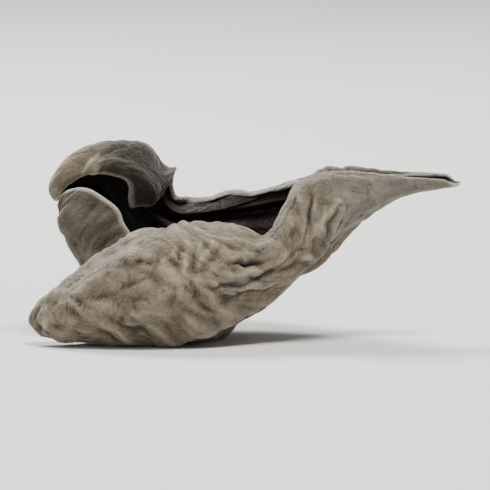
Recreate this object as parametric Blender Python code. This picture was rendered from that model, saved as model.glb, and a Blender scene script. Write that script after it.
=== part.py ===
"""A dried wood ear mushroom, grown as one thin sheet and curled up as it dried.

The sheet starts at a pinched foot, at the far +X tip, and widens towards -X. A section across it is
a hook, a trough and a hook: the front margin is rolled inwards, the middle is the trough, and the
back margin stands up as a wall that ends, at the left, in a hood rolled forwards. The left margin
curls up under the hood as a small lobe. FRONT_ROLL, TROUGH and BACK_ROLL list these forms row by
row, from the foot to the left margin. The surface runs smoothly through them and is then given its
folds and its thickness.

The lists and the constants are in millimetres and degrees. The part is built in metres, +Z up,
and rests on the plane Z = 0.
"""
import bpy
import numpy as np

MM = 0.001

# ---- driving dimensions, mm and degrees ---------------------------------------------------------
THICKNESS = 0.70          # of the dried sheet
ROWS = 49                 # grid lines from the foot to the outer margin
COLUMNS = 51              # grid lines from the front margin to the back margin
SWEPT_ROWS = 600          # rows through the sections, before the corners are rounded
FINE = 241                # rows and columns of the smooth surface that the grid is picked from
RELAX_PASSES = 50         # rounds of evening out, which open the tightest bends a little
RIM_ROUNDS = 4            # how many times more the outer margin is evened out
TIGHTEN = 0.22            # share of its radius that a roll loses in one full turn
FLOOR = 0.95              # height in the lists that becomes the resting plane
PRESS = 0.12              # how far the bellies are pressed flat where they rest
FOOT_THICKNESS = 0.28     # of the sheet at the pinched foot
RIM_SHARE = 0.62          # share of the thickness that is left at the rim
FRONT_ROLL_END = 0.30     # share of the width taken by the front roll,
KEEL = 0.48               # where the bottom of the trough lies,
BACK_ROLL_START = 0.66    # and where the back roll begins

# ---- sections from the foot to the outer margin -------------------------------------------------
# Each rolled margin: x, y, z of the roll's centre, its radius, the angle where the sheet goes into
# the roll (-90 is straight down, 0 is outwards) and how far round it is rolled.
FRONT_ROLL = (
    ( 14.30, -0.22, 11.45, 0.24, -80, 100),
    ( 12.50, -0.35, 11.38, 0.36, -75, 120),
    ( 10.60, -0.65, 11.26, 0.52, -70, 140),
    (  8.70, -1.10, 10.96, 0.90, -70, 155),
    (  6.90, -1.60, 10.62, 1.55, -70, 165),
    (  5.15, -2.10, 10.15, 2.12, -70, 178),
    (  3.60, -2.60,  9.00, 2.05, -75, 188),
    (  2.40, -3.10,  7.35, 1.85, -80, 195),
    (  0.75, -3.70,  6.45, 2.25, -82, 205),
    ( -1.35, -4.30,  5.95, 3.00, -85, 210),
    ( -3.70, -4.75,  5.35, 3.70, -88, 215),
    ( -6.10, -4.95,  4.90, 3.68, -90, 222),
    ( -8.60, -4.85,  4.25, 3.08, -90, 232),
    (-10.80, -4.50,  3.50, 2.30, -90, 238),
    (-12.40, -4.15,  2.95, 1.60, -90, 236),
    (-13.30, -3.85,  2.65, 1.10, -90, 234),
    (-13.65, -3.65,  2.50, 0.85, -90, 232),
    (-13.80, -3.55,  2.45, 0.78, -90, 230),
)
BACK_ROLL = (
    ( 14.30,  0.30, 11.52, 0.24, -80, 130),
    ( 12.50,  0.50, 11.54, 0.36, -65, 200),
    ( 10.70,  0.80, 11.50, 0.46, -50, 205),
    (  8.80,  1.30, 11.33, 0.58, -35, 195),
    (  7.30,  2.10, 11.10, 0.74, -25, 175),
    (  5.80,  3.60, 10.55, 1.05, -15, 140),
    (  4.20,  5.20,  9.65, 1.38, -8, 100),
    (  2.60,  6.40,  9.20, 1.60, -5, 68),
    (  0.80,  7.10,  8.70, 1.80, 0, 55),
    ( -1.50,  7.40,  8.25, 2.00, 0, 48),
    ( -4.60,  6.50,  8.15, 1.90, 0, 38),
    ( -6.40,  5.40,  9.50, 2.45, 0, 115),
    ( -7.50,  4.60, 10.25, 2.95, -5, 206),
    ( -8.60,  3.85, 10.65, 3.30, -10, 206),
    ( -9.75,  3.15, 10.60, 3.12, -20, 209),
    (-10.80,  2.68, 10.30, 2.62, -20, 215),
    (-11.25,  2.33,  9.95, 2.05, -16, 217),
    (-11.45,  2.15,  9.70, 1.68, -12, 216),
)
# The trough between them: x, y, z of its bottom, how round it is there, and how far its front side
# bulges towards +X on the way down, which makes the round lobe of the outer margin.
TROUGH = (
    ( 14.30,  0.05, 11.40, 0.3, 0.0),
    ( 12.50,  0.08, 11.14, 0.3, 0.0),
    ( 10.55,  0.15, 10.90, 0.3, 0.0),
    (  8.60,  0.40, 10.10, 0.4, 0.0),
    (  6.85,  0.70,  8.60, 0.5, 0.0),
    (  5.30,  1.00,  7.00, 0.6, 0.0),
    (  3.90,  1.25,  5.85, 0.8, 0.0),
    (  2.60,  1.60,  5.10, 0.9, 0.0),
    (  1.10,  2.10,  4.15, 1.0, 0.0),
    ( -0.70,  2.80,  2.75, 1.0, 0.0),
    ( -2.90,  3.20,  1.30, 1.0, 0.0),
    ( -5.20,  3.40,  1.15, 1.0, 0.0),
    ( -7.40,  3.00,  1.20, 1.0, 0.0),
    ( -9.20,  2.00,  1.80, 1.0, 0.0),
    (-10.10,  1.20,  3.80, 1.0, 0.4),
    (-11.45,  0.40,  6.70, 1.2, 1.4),
    (-12.90, -0.10,  9.20, 1.7, 4.2),
    (-12.70, -0.50, 11.30, 2.3, 6.6),
)

# ---- the outer margin: shares of the length that are missing, and the lobe ----------------------
BACK_CORNER = 0.20        # at the hood's lower lip
FRONT_CORNER = 0.05       # inside the front roll
FRONT_CLEFT = 0.08        # between the front roll and the lobe
BACK_CLEFT = 0.11         # between the lobe and the hood
LOBE_SPREAD = 0.9         # how far the lobe's foot follows its bulge
FOOT_POINT = 0.035        # share of the length by which the margins start behind the foot's tip


def unit(vectors):
    """Vectors of length one."""
    return vectors / np.maximum(np.linalg.norm(vectors, axis=-1, keepdims=True), 1e-12)


def ease(x):
    """0 below 0, 1 above 1, and a smooth step between."""
    x = np.clip(x, 0.0, 1.0)
    return x * x * (3.0 - 2.0 * x)


def smooth_path(knots, values, t):
    """A curve through the values at the knots, with the mean slope of its neighbours at each."""
    slope = np.gradient(values, knots, axis=0)
    i = np.clip(np.searchsorted(knots, t, side="right") - 1, 0, len(knots) - 2)
    step = (knots[i + 1] - knots[i])[:, None]
    x = (t[:, None] - knots[i][:, None]) / step
    start, end = values[i], values[i + 1]
    leave, arrive = slope[i] * step, slope[i + 1] * step
    return ((2 * x**3 - 3 * x**2 + 1) * start + (x**3 - 2 * x**2 + x) * leave
            + (3 * x**2 - 2 * x**3) * end + (x**3 - x**2) * arrive)


def roll(rows, outside, share):
    """A rolled margin: a spiral round the roll's axis, in planes square to the axis.

    Each row holds the centre, radius, start and turn. share runs from 0, where the sheet goes into
    the roll, to 1 at the free rim. Returns the roll's points, and where and in which direction the
    sheet goes into it.
    """
    axis, radius, start, turn = rows[:, :3], rows[:, 3:4], rows[:, 4:5], rows[:, 5:6]
    along = unit(np.gradient(axis, axis=0))
    up = unit(np.array([0.0, 0.0, 1.0]) - along * along[:, 2:3])
    out = np.cross(along, up)
    out *= np.sign((out * outside).sum(axis=1, keepdims=True))
    angle = np.radians(start + turn * share[None, :])
    reach = radius * (1.0 - TIGHTEN * turn * share[None, :] / 360.0)
    points = (axis[:, None] + (reach * np.cos(angle))[..., None] * out[:, None]
              + (reach * np.sin(angle))[..., None] * up[:, None])
    cos, sin = np.cos(np.radians(start)), np.sin(np.radians(start))
    return points, axis + radius * (cos * out + sin * up), cos * up - sin * out


def bend(a, b, c, d, share):
    """A Bezier curve with the four control points, for each row."""
    s = share[None, :, None]
    a, b, c, d = (point[:, None] for point in (a, b, c, d))
    return (1 - s)**3 * a + 3 * (1 - s)**2 * s * b + 3 * (1 - s) * s**2 * c + s**3 * d


def swept_sheet(v):
    """The smooth middle surface of the sheet, SWEPT_ROWS rows of points at the widths v."""
    tables = [np.array(table) for table in (FRONT_ROLL, TROUGH, BACK_ROLL)]
    spacing = sum(np.linalg.norm(np.diff(table[:, :3], axis=0), axis=1) for table in tables) / 3
    knots = np.concatenate([[0.0], np.cumsum(spacing)])
    rows = np.linspace(0.0, knots[-1], SWEPT_ROWS)
    front, trough, back = (smooth_path(knots, table, rows) for table in tables)
    keel, roundness = trough[:, :3], trough[:, 3:4]
    lean = trough[:, 4:5] * np.array([1.0, 0.0, 0.10])

    in_front = v < FRONT_ROLL_END
    in_back = v >= BACK_ROLL_START
    down = ~in_front & (v < KEEL)
    rise = ~in_back & (v >= KEEL)
    outside = (front - back)[:, :3] * np.array([1.0, 1.0, 0.0])
    front_share = 1 - v[in_front] / FRONT_ROLL_END
    back_share = (v[in_back] - BACK_ROLL_START) / (1 - BACK_ROLL_START)
    front_part, front_foot, front_way = roll(front, outside, front_share)
    back_part, back_foot, back_way = roll(back, -outside, back_share)

    along = unit(np.gradient(keel, axis=0))
    across = back_foot - front_foot
    across = unit(across - along * (across * along).sum(axis=1, keepdims=True))
    front_span = 0.38 * np.linalg.norm(front_foot - keel, axis=1, keepdims=True)
    back_span = 0.38 * np.linalg.norm(back_foot - keel, axis=1, keepdims=True)
    lobe_foot = front_foot - np.minimum(front_span, 2.8) * front_way + LOBE_SPREAD * lean
    down_part = bend(front_foot, lobe_foot, keel - front_span * roundness * unit(across - lean), keel,
                     (v[down] - FRONT_ROLL_END) / (KEEL - FRONT_ROLL_END))
    rise_part = bend(keel, keel + back_span * np.minimum(roundness, 1.0) * across,
                     back_foot - back_span * back_way, back_foot,
                     (v[rise] - KEEL) / (BACK_ROLL_START - KEEL))
    return np.concatenate([front_part, down_part, rise_part, back_part], axis=1)


def smooth_surface():
    """The middle surface of the sheet, FINE rows by FINE columns.

    The foot ends in a point. The outer margin has two rounded corners and a lobe between two
    clefts. Each row is stepped evenly along its width.
    """
    share = np.linspace(0.0, 1.0, FINE)
    sheet = swept_sheet(share)
    length = (1.0 - BACK_CORNER * ease((share - 0.82) / 0.17)**1.2
              - FRONT_CORNER * ease((0.20 - share) / 0.20)
              - FRONT_CLEFT * np.exp(-((share - 0.30) / 0.05)**2)
              - BACK_CLEFT * np.exp(-((share - 0.62) / 0.07)**2))
    start = FOOT_POINT * (2 * share - 1)**2
    row = (start + share[:, None] * (length - start)) * (SWEPT_ROWS - 1)
    low = np.clip(row.astype(int), 0, SWEPT_ROWS - 2)
    part = (row - low)[..., None]
    column = np.arange(FINE)[None, :]
    surface = sheet[low, column] * (1 - part) + sheet[low + 1, column] * part
    for i, line in enumerate(surface.copy()):
        walked = np.concatenate([[0.0], np.cumsum(np.linalg.norm(np.diff(line, axis=0), axis=1))])
        evenly = share * walked[-1]
        surface[i] = np.stack([np.interp(evenly, walked, line[:, k]) for k in range(3)], axis=1)
    return surface


def relaxed(field, passes):
    """The field with each point drawn halfway to the mean of its neighbours, a number of times.

    The foot's edge and the outer margin are evened out along themselves, RIM_ROUNDS times as much.
    """
    field = field.copy()
    for _ in range(passes):
        inside = (field[:-2, 1:-1] + field[2:, 1:-1] + field[1:-1, :-2] + field[1:-1, 2:]) / 4
        sides = (field[:-2, [0, -1]] + field[2:, [0, -1]]) / 2
        field[1:-1, 1:-1] += 0.5 * (inside - field[1:-1, 1:-1])
        field[1:-1, [0, -1]] += 0.5 * (sides - field[1:-1, [0, -1]])
        for _ in range(RIM_ROUNDS):
            ends = (field[[0, -1], :-2] + field[[0, -1], 2:]) / 2
            field[[0, -1], 1:-1] += 0.5 * (ends - field[[0, -1], 1:-1])
    return field


def pick(field, u, v):
    """The field at the shares u of the length and v of the width, between its own points."""
    row, column = u[:, None] * (FINE - 1), v[None, :] * (FINE - 1)
    i, j = np.clip(row.astype(int), 0, FINE - 2), np.clip(column.astype(int), 0, FINE - 2)
    down, over = (row - i)[..., None], (column - j)[..., None]
    return ((field[i, j] * (1 - over) + field[i, j + 1] * over) * (1 - down)
            + (field[i + 1, j] * (1 - over) + field[i + 1, j + 1] * over) * down)


def normals(grid):
    """Unit normals of a grid of points, pointing to the velvety outside of the ear."""
    return unit(np.cross(np.gradient(grid, axis=0), np.gradient(grid, axis=1)))


def folds(grid, u, v):
    """Height in mm of the folds that show from a step away.

    Long folds and dents run over the sheet, a frill follows its rim, and one crease crosses the
    front roll where the roll turns up to the foot.
    """
    turn = 2 * np.pi
    u, v = u[:, None], v[None, :]
    width = widths(grid)
    wide = ease(width / 24.0)
    long_folds = (0.20 * np.cos(turn * (7.3 * v + 0.35 * np.sin(turn * 1.1 * u) + 0.10))
                  + 0.12 * np.cos(turn * (11.2 * v - 0.6 * u + 0.25 * np.sin(turn * 1.7 * u + 1.0))))
    dents = 0.22 * np.sin(turn * (1.9 * u + 0.15)) * np.sin(turn * (2.6 * v + 0.30))
    rim = np.exp(-np.minimum(v, 1 - v) * width / 2.5) + np.exp(-(1 - u) * 30.0 / 2.0)
    frill = 0.16 * rim * np.cos(turn * (6.3 * u + 2.1 * v + 0.2 * np.sin(turn * 3.1 * u)))
    x, y, z = grid[..., 0], grid[..., 1], grid[..., 2]
    crease = np.exp(-((x - 0.9 - 0.35 * (z - 8.0)) / 0.75)**2)
    crease *= ease((z - 5.2) / 2.5) * ease((0.0 - y) / 2.0)
    calm = 1 - 0.7 * ease((u - 0.80) / 0.15) * ease((0.36 - v) / 0.12)
    return wide * calm * (long_folds + dents + frill) - 0.55 * crease


def widths(grid):
    """The width of the sheet at each row, measured along its surface."""
    return np.linalg.norm(np.diff(grid, axis=1), axis=2).sum(axis=1)[:, None]


def rim_distance(grid):
    """Distance in mm from each grid point to the nearest edge of the sheet, along the grid."""
    steps_u = np.linalg.norm(np.diff(grid, axis=0), axis=2)
    steps_v = np.linalg.norm(np.diff(grid, axis=1), axis=2)
    nothing_u, nothing_v = np.zeros((1, grid.shape[1])), np.zeros((grid.shape[0], 1))
    from_foot = np.concatenate([nothing_u, np.cumsum(steps_u, axis=0)])
    from_front = np.concatenate([nothing_v, np.cumsum(steps_v, axis=1)], axis=1)
    return np.minimum(np.minimum(from_foot, from_foot[-1:] - from_foot),
                      np.minimum(from_front, from_front[:, -1:] - from_front))


def closed_sheet(grid, normal, relief):
    """Vertices and faces of the folded sheet with its thickness: two skins that share their rim."""
    half = 0.5 * (FOOT_THICKNESS + (THICKNESS - FOOT_THICKNESS) * ease(widths(grid) / 16.0))
    distance = rim_distance(grid)
    half = half * (RIM_SHARE + (1 - RIM_SHARE) * ease(distance / 3.0))
    edge = np.clip(distance / half, 0.0, 1.0)
    half = half * np.sqrt(1 - (1 - edge)**2)
    outer = grid + normal * (relief + half)[..., None]
    inner = grid + normal * (relief - half)[..., None]
    rows, columns = grid.shape[:2]
    outer_id = np.arange(rows * columns).reshape(rows, columns)
    inner_id = outer_id.copy()
    inside = (slice(1, rows - 1), slice(1, columns - 1))
    inner_id[inside] = np.arange((rows - 2) * (columns - 2)).reshape(rows - 2, columns - 2)
    inner_id[inside] += rows * columns
    points = np.concatenate([outer.reshape(-1, 3), inner[inside].reshape(-1, 3)])
    faces = [triangles(points, outer_id), triangles(points, inner_id)[:, ::-1]]
    return points, np.concatenate(faces)


def triangles(points, ids):
    """Two triangles for each cell of a grid of vertex numbers, split on its shorter diagonal.

    At the grid's own corners the split starts from the corner, so the skins don't share a face.
    """
    a, b, c, d = ids[:-1, :-1], ids[1:, :-1], ids[1:, 1:], ids[:-1, 1:]
    across = np.linalg.norm(points[a] - points[c], axis=2)
    first = across < np.linalg.norm(points[b] - points[d], axis=2)
    first[0, 0] = first[-1, -1] = True
    first[-1, 0] = first[0, -1] = False
    along_ac = np.stack([a, b, c, a, c, d], axis=2)
    along_bd = np.stack([a, b, d, b, c, d], axis=2)
    return np.where(first[..., None], along_ac, along_bd).reshape(-1, 3)


def settle(points):
    """The points moved so that the ear rests on Z = 0 on its pressed bellies, centred on Z."""
    points = points - np.array([0.0, 0.0, FLOOR])
    points[:, 2] = np.maximum(points[:, 2], 0.0)
    low, high = points.min(axis=0), points.max(axis=0)
    return points - np.array([(low[0] + high[0]) / 2, (low[1] + high[1]) / 2, 0.0])


def velvet():
    """The tan, matt outside of a dried ear."""
    material = bpy.data.materials.new("velvet_tan")
    material.use_nodes = True
    shader = material.node_tree.nodes["Principled BSDF"]
    shader.inputs["Base Color"].default_value = (0.235, 0.190, 0.141, 1.0)
    shader.inputs["Roughness"].default_value = 0.85
    shader.inputs["Metallic"].default_value = 0.0
    return material


def build_ear():
    """Models the ear as one closed mesh."""
    u = np.linspace(0.0, 1.0, ROWS)
    v = np.linspace(0.0, 1.0, COLUMNS)
    surface = relaxed(smooth_surface(), RELAX_PASSES)
    surface[..., 2] = np.maximum(surface[..., 2], FLOOR + THICKNESS / 2 - PRESS)
    grid = pick(surface, u, v)
    normal = unit(pick(relaxed(normals(surface), RELAX_PASSES), u, v))
    points, faces = closed_sheet(grid, normal, folds(grid, u, v))
    mesh = bpy.data.meshes.new("wood_ear")
    mesh.from_pydata((settle(points) * MM).tolist(), [], faces.tolist())
    mesh.update()
    ear = bpy.data.objects.new("wood_ear", mesh)
    bpy.context.scene.collection.objects.link(ear)
    mesh.materials.append(velvet())
    return ear


def clear_scene():
    """Removes whatever the scene holds."""
    for thing in list(bpy.data.objects):
        bpy.data.objects.remove(thing, do_unlink=True)


clear_scene()
build_ear()
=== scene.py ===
# %% [markdown]
# # A dried wood ear mushroom
#
# A wood ear grows on dead wood as one thin, rubbery sheet, with a pinched foot where it held on to
# the bark. Its upper side is covered with short, pale velvet, its underside is smooth and dark. As
# it dries, it shrinks to a small part of its size, the margins roll up and the skin wrinkles.
#
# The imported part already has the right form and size, but only as a plain, faceted solid. Here it
# is dressed: the same sheet is made again on a finer grid, with its small wrinkles, and gets two
# finishes, one for the velvet and one for the dark side. Everything below is in the part's own
# frame, in metres, and the sheet itself is worked out in millimetres.

# %% Load the part
import math

import bpy
import numpy as np
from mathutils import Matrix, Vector


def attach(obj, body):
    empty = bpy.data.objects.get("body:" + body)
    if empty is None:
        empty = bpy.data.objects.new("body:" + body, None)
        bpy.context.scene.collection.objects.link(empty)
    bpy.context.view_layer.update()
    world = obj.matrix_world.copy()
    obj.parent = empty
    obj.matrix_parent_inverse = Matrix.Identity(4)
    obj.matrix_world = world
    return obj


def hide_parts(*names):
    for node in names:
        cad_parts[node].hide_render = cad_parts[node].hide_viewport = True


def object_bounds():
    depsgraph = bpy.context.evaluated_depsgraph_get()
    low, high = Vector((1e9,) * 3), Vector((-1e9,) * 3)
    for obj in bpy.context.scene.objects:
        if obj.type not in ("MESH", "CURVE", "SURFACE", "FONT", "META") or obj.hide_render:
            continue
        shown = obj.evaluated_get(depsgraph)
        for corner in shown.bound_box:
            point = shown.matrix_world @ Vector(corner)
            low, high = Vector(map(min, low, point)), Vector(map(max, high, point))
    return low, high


MM = 0.001                # a millimetre, in metres

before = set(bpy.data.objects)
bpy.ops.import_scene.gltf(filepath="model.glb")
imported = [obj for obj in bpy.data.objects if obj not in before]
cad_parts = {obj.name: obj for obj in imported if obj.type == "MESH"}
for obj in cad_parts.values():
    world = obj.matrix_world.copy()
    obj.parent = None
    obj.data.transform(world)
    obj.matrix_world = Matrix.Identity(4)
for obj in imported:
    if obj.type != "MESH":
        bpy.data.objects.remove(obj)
cad_low, cad_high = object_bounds()
print("part:", [round((h - l) / MM, 2) for l, h in zip(cad_low, cad_high)], "mm")

# %% [markdown]
# ## Small helpers
#
# A surface like this one is easiest to describe as a function: give it two numbers, how far along
# the sheet and how far across it, and get a point back. With numpy the whole grid of points is
# worked out at once, so no loop ever visits a vertex. Four helpers are used all the way through:
# `unit` makes vectors one long, `ease` is a soft switch between 0 and 1, `fade` puts that switch
# between two places, and `bell` is a soft bump.

# %% Vectors, soft steps and soft bumps
def unit(vectors):
    """Vectors of length one: each is divided by its own length."""
    return vectors / np.maximum(np.linalg.norm(vectors, axis=-1, keepdims=True), 1e-12)


def ease(x):
    """0 below 0, 1 above 1, and between them three times x squared less twice x cubed."""
    x = np.clip(x, 0.0, 1.0)
    return x * x * (3.0 - 2.0 * x)


def fade(x, start, end):
    """A smooth step from 0 where x is at start to 1 where it is at end: ease of its share of the way."""
    return ease((x - start) / (end - start))


def bell(x, height, middle, half_width):
    """The height times e to the power of minus the squared distance from the middle, in half widths."""
    return height * np.exp(-((x - middle) / half_width)**2)


quarters = np.array([0.25, 0.5, 0.75])
print("ease at a quarter, half and three quarters:", ease(quarters))
print("a bell there, with its middle at a half:", bell(quarters, 1.0, 0.5, 0.25).round(3))

# %% [markdown]
# ## The curled sheet
#
# Cut the real ear across and the cut is a hook, a trough and a hook: the front margin is rolled
# inwards, the middle sags, and the back margin stands up and curls forwards like a hood. The three
# tables follow these forms from the pinched foot, at the right, to the outer margin, at the left.
# They are the same values that the part was built from, which keeps this sheet where the solid is.
#
# Sculpting would be another way, but the tables are easier to correct: to open a roll, turn it
# less far in the rows concerned.

# %% Rows of the sheet, in millimetres and degrees
# Each row of a roll: x, y and z of its axis, its radius, where its circle starts, and how far it
# turns. 0 degrees points outwards, away from the trough, and 90 points up.
FRONT_ROLL = (
    ( 14.30, -0.22, 11.45, 0.24, -80, 100),
    ( 12.50, -0.35, 11.38, 0.36, -75, 120),
    ( 10.60, -0.65, 11.26, 0.52, -70, 140),
    (  8.70, -1.10, 10.96, 0.90, -70, 155),
    (  6.90, -1.60, 10.62, 1.55, -70, 165),
    (  5.15, -2.10, 10.15, 2.12, -70, 178),
    (  3.60, -2.60,  9.00, 2.05, -75, 188),
    (  2.40, -3.10,  7.35, 1.85, -80, 195),
    (  0.75, -3.70,  6.45, 2.25, -82, 205),
    ( -1.35, -4.30,  5.95, 3.00, -85, 210),
    ( -3.70, -4.75,  5.35, 3.70, -88, 215),
    ( -6.10, -4.95,  4.90, 3.68, -90, 222),
    ( -8.60, -4.85,  4.25, 3.08, -90, 232),
    (-10.80, -4.50,  3.50, 2.30, -90, 238),
    (-12.40, -4.15,  2.95, 1.60, -90, 236),
    (-13.30, -3.85,  2.65, 1.10, -90, 234),
    (-13.65, -3.65,  2.50, 0.85, -90, 232),
    (-13.80, -3.55,  2.45, 0.78, -90, 230),
)
BACK_ROLL = (
    ( 14.30,  0.30, 11.52, 0.24, -80, 130),
    ( 12.50,  0.50, 11.54, 0.36, -65, 200),
    ( 10.70,  0.80, 11.50, 0.46, -50, 205),
    (  8.80,  1.30, 11.33, 0.58, -35, 195),
    (  7.30,  2.10, 11.10, 0.74, -25, 175),
    (  5.80,  3.60, 10.55, 1.05, -15, 140),
    (  4.20,  5.20,  9.65, 1.38, -8, 100),
    (  2.60,  6.40,  9.20, 1.60, -5, 68),
    (  0.80,  7.10,  8.70, 1.80, 0, 55),
    ( -1.50,  7.40,  8.25, 2.00, 0, 48),
    ( -4.60,  6.50,  8.15, 1.90, 0, 38),
    ( -6.40,  5.40,  9.50, 2.45, 0, 115),
    ( -7.50,  4.60, 10.25, 2.95, -5, 206),
    ( -8.60,  3.85, 10.65, 3.30, -10, 206),
    ( -9.75,  3.15, 10.60, 3.12, -20, 209),
    (-10.80,  2.68, 10.30, 2.62, -20, 215),
    (-11.25,  2.33,  9.95, 2.05, -16, 217),
    (-11.45,  2.15,  9.70, 1.68, -12, 216),
)
# The trough between them: x, y, z of its bottom, how round it is there, and how far its front side
# bulges towards +X on the way down, which makes the round lobe of the outer margin.
TROUGH = (
    ( 14.30,  0.05, 11.40, 0.3, 0.0),
    ( 12.50,  0.08, 11.14, 0.3, 0.0),
    ( 10.55,  0.15, 10.90, 0.3, 0.0),
    (  8.60,  0.40, 10.10, 0.4, 0.0),
    (  6.85,  0.70,  8.60, 0.5, 0.0),
    (  5.30,  1.00,  7.00, 0.6, 0.0),
    (  3.90,  1.25,  5.85, 0.8, 0.0),
    (  2.60,  1.60,  5.10, 0.9, 0.0),
    (  1.10,  2.10,  4.15, 1.0, 0.0),
    ( -0.70,  2.80,  2.75, 1.0, 0.0),
    ( -2.90,  3.20,  1.30, 1.0, 0.0),
    ( -5.20,  3.40,  1.15, 1.0, 0.0),
    ( -7.40,  3.00,  1.20, 1.0, 0.0),
    ( -9.20,  2.00,  1.80, 1.0, 0.0),
    (-10.10,  1.20,  3.80, 1.0, 0.4),
    (-11.45,  0.40,  6.70, 1.2, 1.4),
    (-12.90, -0.10,  9.20, 1.7, 4.2),
    (-12.70, -0.50, 11.30, 2.3, 6.6),
)
print(len(TROUGH), "rows from the foot to the outer margin")

# %% [markdown]
# A roll is a spiral round an axis that itself bends through space. At each row, `out` and `up` are
# two directions square to the axis, and the roll's points are a circle in them whose radius
# shrinks a little as it turns. The trough between two rolls is a pair of Bezier curves, which
# leave each roll in the direction in which it ends, so there is no kink where they meet.

# %% A curve through the rows
def smooth_path(knots, values, t):
    """A curve through the values at the knots, with the mean slope of its neighbours at each."""
    slope = np.gradient(values, knots, axis=0)
    i = np.clip(np.searchsorted(knots, t, side="right") - 1, 0, len(knots) - 2)
    step = (knots[i + 1] - knots[i])[:, None]
    x = (t[:, None] - knots[i][:, None]) / step
    start, end = values[i], values[i + 1]
    leave, arrive = slope[i] * step, slope[i + 1] * step
    return ((2 * x**3 - 3 * x**2 + 1) * start + (x**3 - 2 * x**2 + x) * leave
            + (3 * x**2 - 2 * x**3) * end + (x**3 - x**2) * arrive)


three_values = np.array([[0.0], [1.0], [0.0]])
print("a curve through 0, 1 and 0:", smooth_path(np.arange(3.0), three_values, quarters)[:, 0])

# %% A rolled margin
TIGHTEN = 0.22            # share of its radius that a roll loses in one full turn


def roll(rows, outside, share):
    """A rolled margin: a spiral round the roll's axis, in planes square to the axis.

    Each row holds the centre, radius, start and turn. share runs from 0, where the sheet goes into
    the roll, to 1 at the free rim. Returns the roll's points, and where and in which direction the
    sheet goes into it.
    """
    axis, radius, start, turn = rows[:, :3], rows[:, 3:4], rows[:, 4:5], rows[:, 5:6]
    along = unit(np.gradient(axis, axis=0))
    up = unit(np.array([0.0, 0.0, 1.0]) - along * along[:, 2:3])
    out = np.cross(along, up)
    out *= np.sign((out * outside).sum(axis=1, keepdims=True))
    angle = np.radians(start + turn * share[None, :])
    reach = radius * (1.0 - TIGHTEN * turn * share[None, :] / 360.0)
    points = (axis[:, None] + (reach * np.cos(angle))[..., None] * out[:, None]
              + (reach * np.sin(angle))[..., None] * up[:, None])
    cos, sin = np.cos(np.radians(start)), np.sin(np.radians(start))
    return points, axis + radius * (cos * out + sin * up), cos * up - sin * out


front_roll = roll(np.array(FRONT_ROLL), np.array([0.0, -1.0, 0.0]), quarters)[0]
print("front roll:", np.ptp(front_roll[..., 0]).round(1), "mm long")

# %% A bend between two forms
def bend(a, b, c, d, share):
    """A Bezier curve with four control points, for each row.

    The points are weighted with the cube of 1 - share, 3 times its square times share, 3 times it
    times the square of share, and the cube of share.
    """
    s = share[None, :, None]
    a, b, c, d = (point[:, None] for point in (a, b, c, d))
    return (1 - s)**3 * a + 3 * (1 - s)**2 * s * b + 3 * (1 - s) * s**2 * c + s**3 * d


square = (np.array([[x, 0.0, z]]) for x, z in ((0.0, 1.0), (0.0, 0.0), (1.0, 0.0), (1.0, 1.0)))
print("a bend, halfway:", bend(*square, quarters)[0, 1])

# %% [markdown]
# The sheet is swept from the foot to the outer margin: at each of many rows, the front roll, the
# way down to the bottom of the trough, called the keel, the way up again and the back roll are put
# together into one line across the ear. At the lobe of the outer margin, the skin between the
# front roll and the keel leans out towards the foot, which gives the lobe its round front.

# %% The sheet as it is swept
SWEPT_ROWS = 600          # rows through the tables
FRONT_ROLL_END = 0.30     # share of the width taken by the front roll,
KEEL = 0.48               # where the bottom of the trough lies,
BACK_ROLL_START = 0.66    # and where the back roll begins
HANDLE = 0.38             # how far a bend's inner control points are off, as a share of its span
LONGEST_HANDLE = 2.8      # and at most, where the sheet leaves the front roll, mm
LOBE_SPREAD = 0.9         # share of the lobe's bulge that its lower end follows
LOBE_RISE = 0.10          # how much the bulge rises on its way out, as a share


def swept_sheet(v):
    """The smooth middle surface of the sheet, SWEPT_ROWS rows of points at the widths v."""
    tables = [np.array(table) for table in (FRONT_ROLL, TROUGH, BACK_ROLL)]
    spacing = sum(np.linalg.norm(np.diff(table[:, :3], axis=0), axis=1) for table in tables) / 3
    knots = np.concatenate([[0.0], np.cumsum(spacing)])
    rows = np.linspace(0.0, knots[-1], SWEPT_ROWS)
    front, trough, back = (smooth_path(knots, table, rows) for table in tables)
    keel, roundness = trough[:, :3], trough[:, 3:4]
    lean = trough[:, 4:5] * np.array([1.0, 0.0, LOBE_RISE])

    in_front = v < FRONT_ROLL_END
    in_back = v >= BACK_ROLL_START
    down = ~in_front & (v < KEEL)
    rise = ~in_back & (v >= KEEL)
    outside = (front - back)[:, :3] * np.array([1.0, 1.0, 0.0])
    front_share = 1 - v[in_front] / FRONT_ROLL_END
    back_share = (v[in_back] - BACK_ROLL_START) / (1 - BACK_ROLL_START)
    front_part, front_foot, front_way = roll(front, outside, front_share)
    back_part, back_foot, back_way = roll(back, -outside, back_share)

    along = unit(np.gradient(keel, axis=0))
    across = back_foot - front_foot
    across = unit(across - along * (across * along).sum(axis=1, keepdims=True))
    front_span = HANDLE * np.linalg.norm(front_foot - keel, axis=1, keepdims=True)
    back_span = HANDLE * np.linalg.norm(back_foot - keel, axis=1, keepdims=True)
    lobe_foot = front_foot - np.minimum(front_span, LONGEST_HANDLE) * front_way + LOBE_SPREAD * lean
    down_part = bend(front_foot, lobe_foot, keel - front_span * roundness * unit(across - lean), keel,
                     (v[down] - FRONT_ROLL_END) / (KEEL - FRONT_ROLL_END))
    rise_part = bend(keel, keel + back_span * np.minimum(roundness, 1.0) * across,
                     back_foot - back_span * back_way, back_foot,
                     (v[rise] - KEEL) / (BACK_ROLL_START - KEEL))
    return np.concatenate([front_part, down_part, rise_part, back_part], axis=1)


print("swept sheet:", swept_sheet(np.linspace(0.0, 1.0, 11)).shape[:2], "points")

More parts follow.
